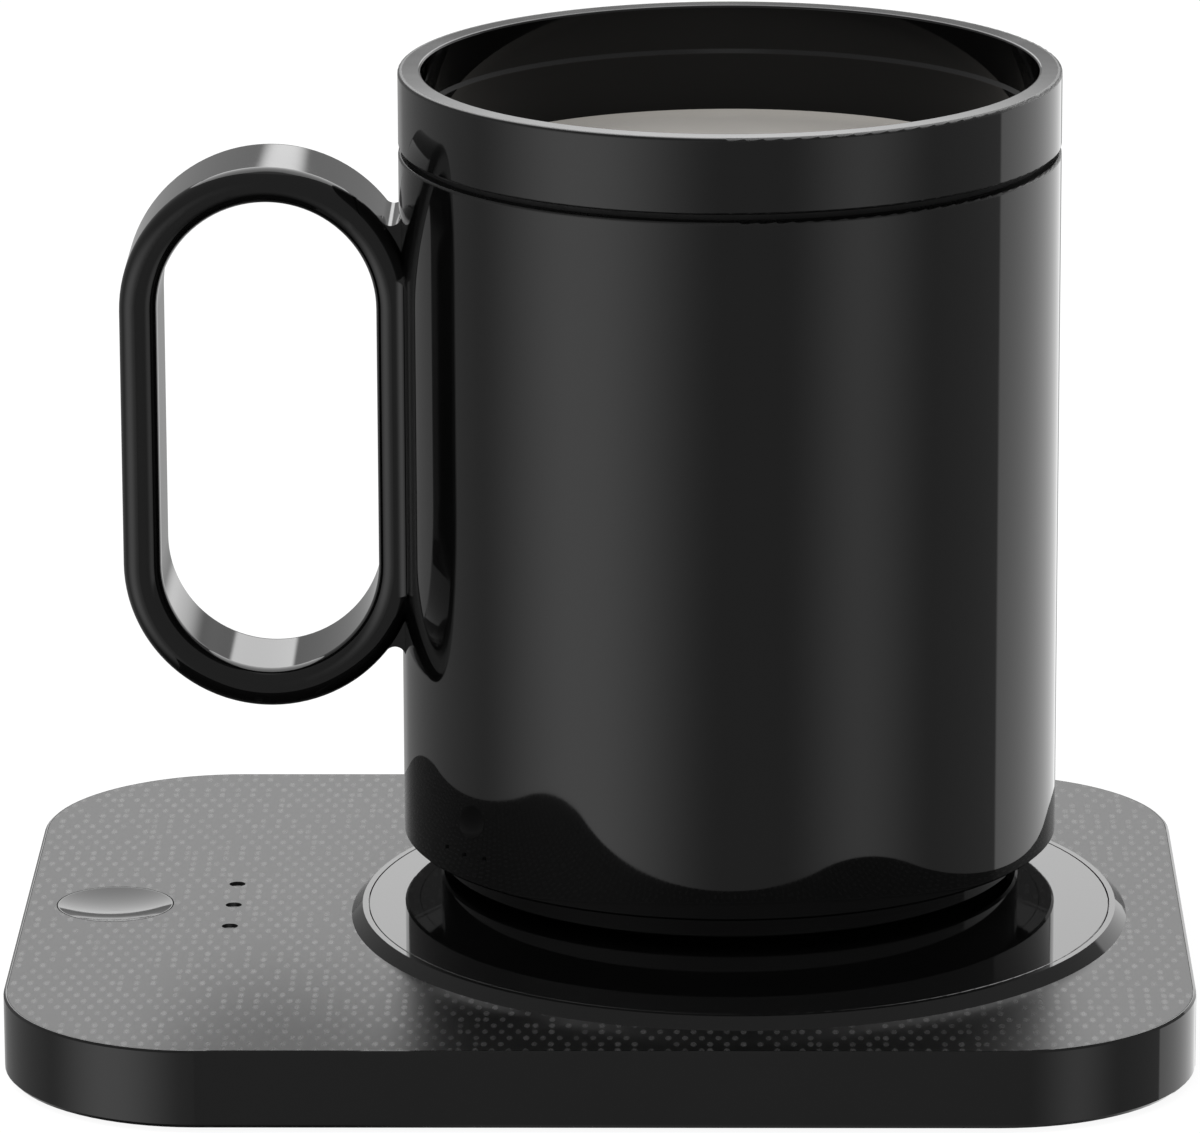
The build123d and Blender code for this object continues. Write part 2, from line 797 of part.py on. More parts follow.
def mug_foot():
    """The ring that closes the bottom of the shell and holds the contact plate."""
    bore = mug_plate_radius + mug_foot_gap
    pocket = mug_plate_radius + mug_plate_flange + mug_foot_gap
    ledge = mug_foot_lift + mug_foot_ledge
    spigot = mug_bore_radius - mug_foot_gap
    top = mug_underside + mug_foot_spigot
    edge = mug_foot_edge
    points = [
        (bore, mug_foot_lift), (mug_foot_radius - edge, mug_foot_lift),
        (mug_foot_radius, mug_foot_lift + edge), (mug_foot_radius, mug_underside),
        (spigot, mug_underside), (spigot, top), (spigot - mug_foot_spigot_wall, top),
        (pocket, mug_plate_thickness), (pocket, ledge), (bore, ledge),
    ]
    return turned(points, mug_x, mug_y, plate_top)


def mug_contact_plate():
    """The conducting plate that stands on the warmer, under the liner's floor."""
    ledge = mug_foot_lift + mug_foot_ledge
    outer = mug_plate_radius + mug_plate_flange
    points = [
        (0, 0), (mug_plate_radius - mug_plate_edge, 0), (mug_plate_radius, mug_plate_edge),
        (mug_plate_radius, ledge), (outer, ledge), (outer, mug_plate_thickness), (0, mug_plate_thickness),
    ]
    return turned(points, mug_x, mug_y, plate_top)


def racetrack(width, height):
    return Rot(0, 0, 90) * SlotOverall(height, width)


def handle_outline():
    """The loop's outer edge, with its thicker strap at the top."""
    width = handle_hole_width + 2 * handle_strap
    height = handle_hole_height + handle_top_strap + handle_strap
    return Pos(0, (handle_top_strap - handle_strap) / 2) * racetrack(width, height)


def root_outline(depth):
    """The same edge, with a small concave root above and below, where the loop leaves the mug's wall."""
    outline = handle_outline()
    size = outline.bounding_box().size
    wall = math.sqrt(mug_radius ** 2 - (depth / 2) ** 2) - handle_root_overlap
    root_x = handle_hole_reach + handle_hole_width / 2 - wall
    centre_y = outline.center().Y
    root = Pos(root_x + handle_strap / 2, centre_y) * Rectangle(handle_strap, size.Y)
    joined = outline + root
    crossing = math.sqrt((size.X / 2) ** 2 - root_x ** 2) + size.Y / 2 - size.X / 2
    corners = [
        corner for corner in joined.vertices()
        if abs(corner.X - root_x) < 0.01 and abs(abs(corner.Y - centre_y) - crossing) < 0.01
    ]
    return fillet(corners, handle_root_radius)


def handle_webs():
    """Concave webs, front and back, that lead the inner strap over into the mug's wall."""
    radius = handle_web_radius
    left = handle_web_start - handle_hole_reach
    right = left + 2 * radius
    face = -handle_depth / 2
    behind = face + handle_web_depth
    corners = Polyline(
        (left, face), (left, behind), (right, behind), (right, face - radius), (left + radius, face - radius)
    )
    part = radius * math.sqrt(0.5)
    curve = ThreePointArc((left + radius, face - radius), (left + part, face - radius + part), (left, face))
    web = extrude(make_face(corners + curve), handle_web_length / 2, both=True)
    half = handle_web_length / 2
    slope = handle_web_depth + radius
    slanted = Polyline(
        (behind, -half), (behind, half), (behind - slope, half - slope), (behind - slope, slope - half), close=True
    )
    web &= extrude(Plane.YZ * make_face(slanted), handle_hole_reach, both=True)
    place = Pos(mug_x, mug_y, plate_top + handle_middle)
    return [place * web, place * mirror(web, about=Plane.XZ)]


def mug_handle():
    """A closed strap loop with rounded edges, let into the shell's wall along a saddle."""
    hole_x = mug_x - handle_hole_reach - handle_hole_width / 2
    hole_side = hole_x - handle_hole_width / 2
    middle = plate_top + handle_middle
    front = mug_y - handle_depth / 2
    root_depth = handle_depth - 2 * handle_outer_edge

    def plane(y):
        return Plane(origin=(hole_x, y, middle), x_dir=(1, 0, 0), z_dir=(0, -1, 0))

    def face_edges(solid, y):
        return solid.edges().filter_by_position(Axis.Y, y - 0.01, y + 0.01)

    loop = extrude(plane(front) * handle_outline(), -handle_depth)
    for y in (front, front + handle_depth):
        loop = fillet(face_edges(loop, y), handle_outer_edge)
    loop += extrude(plane(front + handle_outer_edge) * root_outline(root_depth), -root_depth)
    loop -= extrude(plane(front) * racetrack(handle_hole_width, handle_hole_height), -handle_depth)
    for y in (front, front + handle_depth):
        hole_edges = [
            edge for edge in face_edges(loop, y)
            if edge.bounding_box().min.X > hole_side - 0.01
            and edge.bounding_box().max.X < hole_side + handle_hole_width + 0.01
        ]
        loop = fillet(hole_edges, handle_inner_edge)
    for web in handle_webs():
        loop += web
    return loop - post(mug_x, mug_y, mug_radius, plate_top, plate_top + mug_height)


def write(name, shape):
    """Write one sub-part, joining a list of solids into one compound."""
    if isinstance(shape, list):
        shape = Compound(children=shape)
    shape.label = name
    export_step(shape, os.path.join("parts", name + ".step"))


def main():
    os.makedirs("parts", exist_ok=True)
    write("housing", housing())
    write("top_panel", top_panel())
    write("bottom_cover", bottom_cover())
    for index, place in enumerate(foot_places, start=1):
        write(f"rubber_foot_{index}", rubber_foot(place))
    write("cover_screws", cover_screws())
    write("disc_bezel", disc_bezel())
    write("disc_gasket", disc_gasket())
    write("warming_plate", warming_plate())
    write("heat_spreader", heat_spreader())
    write("heating_element", heating_element())
    write("insulation_pad", insulation_pad())
    write("heater_clamp", heater_clamp())
    write("clamp_screws", clamp_screws())
    write("temperature_sensor", temperature_sensor())
    write("thermal_fuse", thermal_fuse())
    write("button_cap", button_cap())
    write("tact_switch", tact_switch())
    write("switch_plunger", switch_plunger())
    for index, place in enumerate(light_places, start=1):
        write(f"light_guide_{index}", light_guide(place))
        write(f"indicator_led_{index}", indicator_led(place))
    write("circuit_board", circuit_board())
    write("board_screws", board_screws())
    write("wire_connector", wire_connector())
    write("controller_chip", controller_chip())
    write("power_transistor", power_transistor())
    write("power_choke", power_choke())
    write("capacitors", capacitors())
    write("inlet_shell", inlet_shell())
    write("inlet_tongue", inlet_tongue())
    write("heater_leads", heater_leads())
    write("sensor_lead", sensor_lead())
    write("mug_shell", mug_shell())
    write("mug_liner", mug_liner())
    write("mug_seal", mug_seal())
    write("mug_foot", mug_foot())
    write("mug_contact_plate", mug_contact_plate())
    write("mug_handle", mug_handle())


main()
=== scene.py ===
import math

import bmesh
import bpy
from mathutils import Matrix, Vector


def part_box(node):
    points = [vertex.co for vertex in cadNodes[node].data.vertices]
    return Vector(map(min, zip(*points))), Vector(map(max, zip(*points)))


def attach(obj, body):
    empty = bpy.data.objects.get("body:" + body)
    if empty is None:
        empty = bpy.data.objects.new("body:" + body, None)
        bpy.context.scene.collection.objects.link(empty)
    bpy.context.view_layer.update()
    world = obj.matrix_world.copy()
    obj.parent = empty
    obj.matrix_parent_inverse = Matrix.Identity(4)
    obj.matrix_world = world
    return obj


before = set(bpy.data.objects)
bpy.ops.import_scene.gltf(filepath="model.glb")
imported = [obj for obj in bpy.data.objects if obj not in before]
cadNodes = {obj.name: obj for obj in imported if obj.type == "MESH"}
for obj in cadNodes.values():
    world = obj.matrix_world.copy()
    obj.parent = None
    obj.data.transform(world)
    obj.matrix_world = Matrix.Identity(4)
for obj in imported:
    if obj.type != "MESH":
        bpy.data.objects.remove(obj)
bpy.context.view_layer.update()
mm = 0.001
print("frame loaded,", len(cadNodes), "pieces")


class Value:
    # a number or colour on a node's socket, which takes part in Python sums
    def __init__(self, nodes, socket):
        self.nodes = nodes
        self.socket = socket

    def __add__(self, other):
        return self.nodes.math("ADD", self, other)

    def __radd__(self, other):
        return self.nodes.math("ADD", other, self)

    def __sub__(self, other):
        return self.nodes.math("SUBTRACT", self, other)

    def __rsub__(self, other):
        return self.nodes.math("SUBTRACT", other, self)

    def __mul__(self, other):
        return self.nodes.math("MULTIPLY", self, other)

    def __rmul__(self, other):
        return self.nodes.math("MULTIPLY", other, self)

    def __truediv__(self, other):
        return self.nodes.math("DIVIDE", self, other)

    def __rtruediv__(self, other):
        return self.nodes.math("DIVIDE", other, self)


class Nodes:
    # one node tree and the ways in which nodes are added to it
    def __init__(self, tree):
        self.tree = tree

    def add(self, kind, settings=None, inputs=None, out=0):
        node = self.tree.nodes.new(kind)
        for name, value in (settings or {}).items():
            if name == "stops":
                ramp = node.color_ramp
                while len(ramp.elements) < len(value):
                    ramp.elements.new(0.5)
                for element, (place, colour) in zip(ramp.elements, value):
                    element.position = place
                    element.color = colour
            else:
                setattr(node, name, value)
        for name, value in (inputs or {}).items():
            if isinstance(value, Value):
                self.tree.links.new(value.socket, node.inputs[name])
            else:
                node.inputs[name].default_value = value
        return Value(self, node.outputs[out]) if out is not None else node

    def math(self, operation, first, second=0.0):
        return self.add("ShaderNodeMath", {"operation": operation}, {0: first, 1: second})

    def xyz(self, vector):
        return [self.add("ShaderNodeSeparateXYZ", None, {0: vector}, axis) for axis in range(3)]

    def point(self):
        # where the surface is in the part's own frame, in millimetres
        metres = self.add("ShaderNodeTexCoord", None, None, "Object")
        return self.add("ShaderNodeVectorMath", {"operation": "SCALE"}, {0: metres, "Scale": 1000.0})

    def stretched(self, vector, x, y, z):
        return self.add("ShaderNodeVectorMath", {"operation": "MULTIPLY"}, {0: vector, 1: (x, y, z)})

    def ease(self, value, low, high, start=0.0, end=1.0):
        # goes smoothly from start to end while value goes from low to high
        return self.add("ShaderNodeMapRange", {"interpolation_type": "SMOOTHSTEP"},
                        {0: value, 1: low, 2: high, 3: start, 4: end})

    def noise(self, vector, size, detail=2.0):
        # fractal noise with features of about that size in millimetres
        return self.add("ShaderNodeTexNoise", None, {"Vector": vector, "Scale": 1.0 / size, "Detail": detail})

    def random(self, first, second=0.0):
        # a steady random number from 0 to 1 for each pair of whole numbers
        pair = self.add("ShaderNodeCombineXYZ", None, {0: first, 1: second})
        return self.add("ShaderNodeTexWhiteNoise", {"noise_dimensions": "2D"}, {"Vector": pair})

    def length(self, first, second):
        # how far from the middle a point is, from its distances along two axes
        return self.math("SQRT", first * first + second * second)

    def blend(self, mask, first, second):
        return self.add("ShaderNodeMix", {"data_type": "RGBA"}, {0: mask, 6: first, 7: second}, 2)

    def bump(self, height, depth):
        # height from 0 to 1, depth in millimetres
        return self.add("ShaderNodeBump", None, {"Height": height, "Distance": depth * mm})


def grey(level):
    return (level, level, level, 1.0)


def tint(red, green, blue):
    return (red, green, blue, 1.0)


def cleared(owner):
    # an empty node tree on a material or the world
    owner.use_nodes = True
    owner.node_tree.nodes.clear()
    return Nodes(owner.node_tree)


def finish(name, build, **fixed):
    # build(nodes) gives what changes over the surface, and fixed is the same all over
    material = bpy.data.materials.new(name)
    nodes = cleared(material)
    inputs = {key.replace("_", " "): value for key, value in fixed.items()}
    inputs.update(build(nodes))
    shader = nodes.add("ShaderNodeBsdfPrincipled", None, inputs)
    nodes.add("ShaderNodeOutputMaterial", None, {0: shader}, None)
    return material


def dress(material, *names):
    for name in names:
        piece = cadNodes[name]
        piece.data.materials.clear()
        piece.data.materials.append(material)


def middle(name):
    # the middle of a piece's box, in millimetres
    low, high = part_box(name)
    return (low + high) / 2 / mm


# camera, in millimetres and degrees
cameraView = {
    "place": (14.459, -1003.54, 326.394),
    "turn": 0.838,
    "tip": 15.247,
    "roll": -0.217,
    "lens": 259.173,
}


def addCamera():
    camera = bpy.data.objects.new("camera", bpy.data.cameras.new("camera"))
    bpy.context.scene.collection.objects.link(camera)
    turn, tip, roll = (math.radians(cameraView[key]) for key in ("turn", "tip", "roll"))
    stand = Matrix.Rotation(turn, 4, "Z") @ Matrix.Rotation(math.pi / 2 - tip, 4, "X")
    place = Matrix.Translation(Vector(cameraView["place"]) * mm)
    camera.matrix_world = place @ stand @ Matrix.Rotation(roll, 4, "Z")
    camera.data.lens = cameraView["lens"]
    bpy.context.scene.camera = camera


# what glossy surfaces mirror: a grey studio with two soft upright boxes in front, a white screen at
# the right and a bright window low behind. Directions are degrees: round from the camera's side,
# positive to the right, and up from the horizon
studioLook = {
    "room": 0.312,
    "leftBox": {"rise": (-99, -54), "fall": (-50, -1), "top": (-6, 26), "light": 0.97},
    "rightBox": {"rise": (17, 47), "fall": (46, 77), "top": (-11, -6), "light": 0.48},
    "screen": {"from": (106.9, 108.5), "until": (163.2, 166.8), "lean": 0.3, "top": (17.0, 18.6),
               "light": 0.68, "gain": 0.33, "gainCurve": 1.5},
    "behind": {"from": (163, 167), "until": (196, 204), "light": 0.11},
    "window": {"foot": (11.6, 12.8), "curve": 0.016, "light": 2.2},
    "overhead": {"height": (0.965, 0.995), "light": 0.6},
    "below": {"height": (-55, -24), "share": 0.12},
    "background": 1.0,
    "ambient": 0.72,
}


def between(nodes, value, rise, fall):
    # 1 between two soft edges and 0 outside them
    return nodes.ease(value, *rise) * nodes.ease(value, *fall, 1.0, 0.0)


def softBox(nodes, angle, height, box):
    return between(nodes, angle, box["rise"], box["fall"]) * nodes.ease(height, *box["top"], box["light"], 0.0)


def addStudio():
    world = bpy.data.worlds.new("studio")
    bpy.context.scene.world = world
    world.cycles.sampling_method = "NONE"  # the soft room is found by the rays themselves
    nodes = cleared(world)
    x, y, z = nodes.xyz(nodes.add("ShaderNodeTexCoord", None, None, "Generated"))
    degrees = 180 / math.pi
    height = nodes.math("ARCSINE", z) * degrees
    angle = nodes.math("ARCTAN2", x, 0.0 - y) * degrees
    turned = angle + 360.0 * nodes.math("LESS_THAN", angle, -90.0)
    room = studioLook["room"] + softBox(nodes, angle, height, studioLook["leftBox"])
    room = room + softBox(nodes, angle, height, studioLook["rightBox"])
    screen, behind, window = (studioLook[part] for part in ("screen", "behind", "window"))
    screenMask = nodes.ease(turned, *screen["from"]) * nodes.ease(height, *screen["top"], 1.0, 0.0)
    screenMask = screenMask * nodes.ease(turned + height * screen["lean"], *screen["until"], 1.0, 0.0)
    inward = nodes.add("ShaderNodeMapRange", None, {0: turned, 1: screen["from"][1], 2: screen["until"][0]})
    rising = nodes.math("POWER", inward, screen["gainCurve"]) * screen["gain"]
    room = room + screenMask * (screen["light"] + rising)
    room = room + between(nodes, turned, behind["from"], behind["until"]) * behind["light"]
    fromMiddle = turned - 180.0
    windowMask = nodes.ease(height - fromMiddle * fromMiddle * window["curve"], *window["foot"])
    room = room + windowMask * (window["light"] - room)
    overhead = nodes.ease(z, *studioLook["overhead"]["height"])
    mirrored = room + overhead * (studioLook["overhead"]["light"] - room)
    below = studioLook["below"]
    mirrored = mirrored * nodes.ease(height, *below["height"], below["share"], 1.0)
    rays = {name: nodes.add("ShaderNodeLightPath", None, None, name)
            for name in ("Is Camera Ray", "Is Glossy Ray", "Is Transmission Ray")}
    straight = nodes.math("MAXIMUM", rays["Is Camera Ray"], rays["Is Transmission Ray"])
    ambient = studioLook["ambient"]
    plain = ambient + straight * (studioLook["background"] - ambient)
    strength = plain + rays["Is Glossy Ray"] * (mirrored - plain)
    background = nodes.add("ShaderNodeBackground", None, {"Color": grey(1.0), "Strength": strength})
    nodes.add("ShaderNodeOutputWorld", None, {0: background}, None)


keyLamp = {"place": (-0.7, -0.6, 1.5), "size": 1.4, "power": 10.7}


def addLamp():
    lamp = bpy.data.lights.new("key", "AREA")
    lamp.shape = "SQUARE"
    lamp.size = keyLamp["size"]
    lamp.energy = keyLamp["power"]
    holder = bpy.data.objects.new("key", lamp)
    bpy.context.scene.collection.objects.link(holder)
    holder.location = keyLamp["place"]
    holder.rotation_euler = (-holder.location).to_track_quat("-Z", "Y").to_euler()
    holder.visible_glossy = False  # the studio's boxes do the mirroring
    holder.visible_camera = False


floorLook = {"half": 3.0, "colour": 0.9, "lift": 0.82, "glow": 1.12}


def addFloor():
    half = floorLook["half"]
    mesh = bpy.data.meshes.new("floor")
    corners = [(-half, -half, 0), (half, -half, 0), (half, half, 0), (-half, half, 0)]
    mesh.from_pydata(corners, [], [(0, 1, 2, 3)])
    floor = bpy.data.objects.new("floor", mesh)
    bpy.context.scene.collection.objects.link(floor)
    floor.visible_glossy = False
    material = bpy.data.materials.new("floor")
    nodes = cleared(material)
    paper = nodes.add("ShaderNodeBsdfDiffuse", None, {"Color": grey(floorLook["colour"])})
    glow = nodes.add("ShaderNodeEmission", None, {"Color": grey(1.0), "Strength": floorLook["glow"]})
    seen = nodes.add("ShaderNodeLightPath", None, None, "Is Camera Ray")
    mixed = nodes.add("ShaderNodeMixShader", None, {0: seen * floorLook["lift"], 1: paper, 2: glow})
    nodes.add("ShaderNodeOutputMaterial", None, {0: mixed}, None)
    mesh.materials.append(material)


bpy.context.scene.view_settings.view_transform = "Standard"
addCamera()
addStudio()
addLamp()
addFloor()
print("camera, studio and floor are up")


# polished black of the casing, the disc and the mug
polishLook = {
    "casingGloss": {"colour": 0.0026, "roughness": 0.035, "haze": 0.03, "hazeSize": 11.0, "ripple": 0.0008},
    "discGloss": {"colour": 0.0020, "roughness": 0.025, "haze": 0.02, "hazeSize": 16.0, "ripple": 0.0003},
    "mugGloss": {"colour": 0.0022, "roughness": 0.03, "haze": 0.025, "hazeSize": 14.0, "ripple": 0.0006},
    "buttonGloss": {"colour": 0.0026, "roughness": 0.06, "haze": 0.03, "hazeSize": 4.0, "ripple": 0.0004},
}


def gloss(nodes, look, edge=0.0):
    # clear gloss with a little haze, duller where edge is 1
    point = nodes.point()
    haze = nodes.noise(point, look["hazeSize"], 4.0)
    specks = nodes.noise(point, 0.3, 1.0)
    worn = nodes.ease(haze * 0.75 + specks * 0.25, 0.42, 0.72)
    colour = nodes.blend(haze, grey(look["colour"] * 0.8), grey(look["colour"] * 1.25))
    ripple = nodes.noise(point, 3.2, 1.0)
    return {"Base Color": colour, "Roughness": look["roughness"] + look["haze"] * worn + edge,
            "Normal": nodes.bump(ripple, look["ripple"])}


def polished(name):
    return finish(name, lambda nodes: gloss(nodes, polishLook[name]), IOR=1.5)


# the mug's wall and cup: duller edges at the rim and the groove, a slick coat inside, and the plain
# gloss again on the ledge. In millimetres: each edge has its top and bottom below the rim and the
# radius that it starts from
cupLook = {
    "edges": ((-0.1, 0.42, 39.45), (8.85, 9.35, 38.9), (9.6, 10.35, 38.9)),
    "edgeSoft": (0.04, 0.06),
    "edgeRoughness": 0.24,
    "glossIor": 1.5,
    "coatFrom": 0.32,
    "coatWall": 37.4,
    "coatIor": 1.31,
    "ledge": (5.4, 6.1),
    "ledgeSoft": 0.2,
    "ledgeIor": 1.5,
}


def cupFinish(name, coated):
    look = cupLook
    centre, rim = middle("mug_liner"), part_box("mug_liner")[1].z / mm
    material = bpy.data.materials.new(name)
    nodes = cleared(material)
    x, y, z = nodes.xyz(nodes.point())
    away = nodes.length(x - centre.x, y - centre.y)
    down = rim - z
    softTop, softBottom = look["edgeSoft"]
    edge = 0.0
    for top, bottom, radius in look["edges"]:
        band = between(nodes, down, (top - softTop, top + softTop), (bottom - softBottom, bottom + softBottom))
        edge = edge + band * nodes.math("GREATER_THAN", away, radius)
    inputs = gloss(nodes, polishLook["mugGloss"], edge * look["edgeRoughness"])

    def shine(ior):
        return nodes.add("ShaderNodeBsdfPrincipled", None, {**inputs, "IOR": ior})

    def over(mask, under, upper):
        return nodes.add("ShaderNodeMixShader", None, {0: mask, 1: under, 2: upper})

    shader = shine(look["glossIor"])
    if coated:
        inside = (nodes.math("LESS_THAN", away, look["coatWall"])
                  * nodes.math("GREATER_THAN", down, look["coatFrom"]))
        shader = over(inside, shader, shine(look["coatIor"]))
        (top, bottom), soft = look["ledge"], look["ledgeSoft"]
        ledge = inside * between(nodes, down, (top, top + soft), (bottom - soft, bottom))
        shader = over(ledge, shader, shine(look["ledgeIor"]))
    nodes.add("ShaderNodeOutputMaterial", None, {0: shader}, None)
    return material


casingGloss = polished("casingGloss")
discGloss = polished("discGloss")
mugGloss = polished("mugGloss")
buttonGloss = polished("buttonGloss")
dress(casingGloss, "housing")
dress(discGloss, "disc_bezel", "warming_plate")
dress(mugGloss, "mug_handle", "mug_foot")
dress(cupFinish("mugWall", False), "mug_shell")
dress(cupFinish("mugCup", True), "mug_liner")
dress(buttonGloss, "button_cap")
print("gloss black done")


# the sheet in the casing's top, finely grained, with faint pale dots in shifted rows
sheetLook = {
    "row": 2.27,
    "pitch": 0.97,
    "patch": 10,
    "patchRows": 3,
    "dotWide": 0.42,
    "dotDeep": 0.98,
    "dotFade": (0.45, 1.15),
    "left": 0.05,
    "weakest": 0.5,
    "colour": 0.0032,
    "dotColour": 0.05,
    "roughness": 0.28,
    "dotRoughness": 0.24,
    "grainSize": 0.28,
    "grainRoughness": 0.03,
    "grainHeight": 0.15,
    "dotHeight": 0.004,
    "cloudSize": 7.0,
    "cloud": 0.3,
    "cloudColour": 0.00512,
    "gloss": 0.33,
}


def texturedSheet(nodes):
    look = sheetLook
    point = nodes.point()
    x, y = nodes.xyz(point)[:2]
    rows, along = y / look["row"], x / look["pitch"]
    row, cell = nodes.math("FLOOR", rows), nodes.math("FLOOR", along)
    patch = nodes.math("FLOOR", (cell + nodes.random(row) * look["patch"]) / look["patch"])
    slip = nodes.math("GREATER_THAN", nodes.random(patch, nodes.math("FLOOR", row / look["patchRows"])), 0.5)
    chosen = 1 - nodes.math("FLOORED_MODULO", cell + row + slip, 2.0)
    luck = nodes.random(row, cell)
    strength = nodes.math("GREATER_THAN", luck, look["left"]) * chosen
    strength = strength * (look["weakest"] + luck * (1 - look["weakest"]))
    acrossDot = (nodes.math("FRACT", along) - 0.5) * (look["pitch"] / look["dotWide"])
    downDot = (nodes.math("FRACT", rows) - 0.5) * (look["row"] / look["dotDeep"])
    dot = nodes.ease(nodes.length(acrossDot, downDot), *look["dotFade"], 1.0, 0.0) * strength
    grain = (1 - dot) * nodes.noise(point, look["grainSize"], 3.0)  # the dots are smooth
    cloud = nodes.ease(nodes.noise(point, look["cloudSize"], 2.0), 0.3, 0.7) * look["cloud"]
    colour = nodes.blend(dot, grey(look["colour"]), grey(look["dotColour"]))
    colour = nodes.blend(cloud, colour, grey(look["cloudColour"]))
    roughness = look["roughness"] + grain * look["grainRoughness"]
    roughness = roughness + dot * (look["dotRoughness"] - look["roughness"])
    relief = nodes.bump(grain * look["grainHeight"], look["dotHeight"])
    return {"Base Color": colour, "Roughness": roughness, "Normal": relief}


dress(finish("texturedSheet", texturedSheet, IOR=1.5, Specular_IOR_Level=sheetLook["gloss"]), "top_panel")
print("textured sheet done")


# moulded, rubber and other plain finishes: grain size and depth in millimetres
plainLook = {
    "mouldedBlack": {"colours": (0.010, 0.018), "roughness": (0.48, 0.64), "grain": 0.16, "depth": 0.012},
    "blackRubber": {"colours": (0.008, 0.016), "roughness": (0.66, 0.84), "grain": 0.3, "depth": 0.02},
    "sealRubber": {"colours": (0.002, 0.004), "roughness": (0.6, 0.75), "grain": 0.3, "depth": 0.01},
    "frostedGuide": {"colours": (0.24, 0.30), "roughness": (0.3, 0.42), "grain": 0.12, "depth": 0.006},
    "whiteNylon": {"colours": (0.62, 0.72), "roughness": (0.42, 0.55), "grain": 0.5, "depth": 0.01},
    "mineralPad": {"colours": (0.36, 0.62), "roughness": (0.8, 0.95), "grain": 0.35, "depth": 0.12},
    "chipEpoxy": {"colours": (0.018, 0.03), "roughness": (0.5, 0.66), "grain": 0.1, "depth": 0.008},
    "redWire": {"colours": (0.36, 0.42), "roughness": (0.35, 0.5), "grain": 0.8, "depth": 0.01,
                "tone": (1.0, 0.06, 0.04)},
    "whiteWire": {"colours": (0.6, 0.7), "roughness": (0.35, 0.5), "grain": 0.8, "depth": 0.01},
    "glassBead": {"colours": (0.10, 0.2), "roughness": (0.12, 0.22), "grain": 0.7, "depth": 0.01,
                  "tone": (1.0, 0.5, 0.2)},
    "ferrite": {"colours": (0.035, 0.07), "roughness": (0.55, 0.75), "grain": 0.2, "depth": 0.02},
}


def plain(name):
    look = plainLook[name]
    tone = look.get("tone", (1.0, 1.0, 1.0))

    def build(nodes):
        point = nodes.point()
        grain = nodes.noise(point, look["grain"], 4.0)
        patch = nodes.noise(point, look["grain"] * 24, 2.0)
        mixed = nodes.ease(grain * 0.6 + patch * 0.4, 0.3, 0.7)
        low, high = (tint(*(level * part for part in tone)) for level in look["colours"])
        smooth, rough = look["roughness"]
        return {"Base Color": nodes.blend(mixed, low, high), "Roughness": smooth + mixed * (rough - smooth),
                "Normal": nodes.bump(grain, look["depth"])}

    return finish(name, build, IOR=1.5)


plains = {name: plain(name) for name in plainLook}
dress(plains["mouldedBlack"], "bottom_cover", "wire_connector")
dress(plains["blackRubber"], "rubber_foot_1", "rubber_foot_2", "rubber_foot_3", "rubber_foot_4", "disc_gasket")
dress(plains["sealRubber"], "mug_seal")
dress(plains["frostedGuide"], "light_guide_1", "light_guide_2", "light_guide_3")
dress(plains["whiteNylon"], "switch_plunger")
dress(plains["mineralPad"], "insulation_pad")
dress(plains["chipEpoxy"], "controller_chip", "tact_switch")
dress(plains["redWire"], "heater_leads")
dress(plains["whiteWire"], "sensor_lead")
dress(plains["glassBead"], "temperature_sensor")
dress(plains["ferrite"], "power_choke")
print("moulded, rubber and wire finishes done")


# metals, brushed or rolled along one axis
metalLook = {
    "rolledAluminium": {"colour": (0.76, 0.77, 0.79), "roughness": 0.34, "brush": (0.05, 1.0, 1.0), "depth": 0.004},
    "pressedSteel": {"colour": (0.56, 0.56, 0.58), "roughness": 0.3, "brush": (1.0, 0.08, 1.0), "depth": 0.004},
    "zincScrew": {"colour": (0.62, 0.63, 0.66), "roughness": 0.28, "brush": (1.0, 1.0, 0.3), "depth": 0.006},
    "plateMetal": {"colour": (0.022, 0.022, 0.024), "roughness": 0.3, "brush": (1.0, 1.0, 1.0), "depth": 0.006},
    "inletSteel": {"colour": (0.66, 0.66, 0.68), "roughness": 0.22, "brush": (0.2, 1.0, 1.0), "depth": 0.002},
}


def metal(name):
    look = metalLook[name]

    def build(nodes):
        point = nodes.point()
        brushed = nodes.noise(nodes.stretched(point, *look["brush"]), 0.2, 3.0)
        stain = nodes.noise(point, 6.0, 3.0)
        shade = [level * 0.82 for level in look["colour"]]
        mixed = nodes.ease(brushed * 0.6 + stain * 0.4, 0.3, 0.7)
        colour = nodes.blend(mixed, tint(*shade), tint(*look["colour"]))
        return {"Base Color": colour, "Roughness": look["roughness"] - 0.06 + stain * 0.12,
                "Normal": nodes.bump(brushed, look["depth"])}

    return finish(name, build, Metallic=1.0)


metals = {name: metal(name) for name in metalLook}
dress(metals["rolledAluminium"], "heat_spreader")
dress(metals["pressedSteel"], "heater_clamp", "thermal_fuse")
dress(metals["zincScrew"], "cover_screws", "clamp_screws", "board_screws")
dress(metals["plateMetal"], "mug_contact_plate")
dress(metals["inletSteel"], "inlet_shell")
print("metals done")


# circuit board: green mask over fine tracks, with bare pads
boardLook = {
    "mask": (0.012, 0.11, 0.045),
    "track": (0.03, 0.2, 0.09),
    "pad": (0.75, 0.66, 0.5),
    "pitch": 1.27,
    "trackEdge": (0.10, 0.16),
    "bareLanes": 0.35,
    "bend": 0.4,
    "bendSize": 9.0,
    "padEdge": (0.42, 0.48),
    "barePads": 0.8,
}


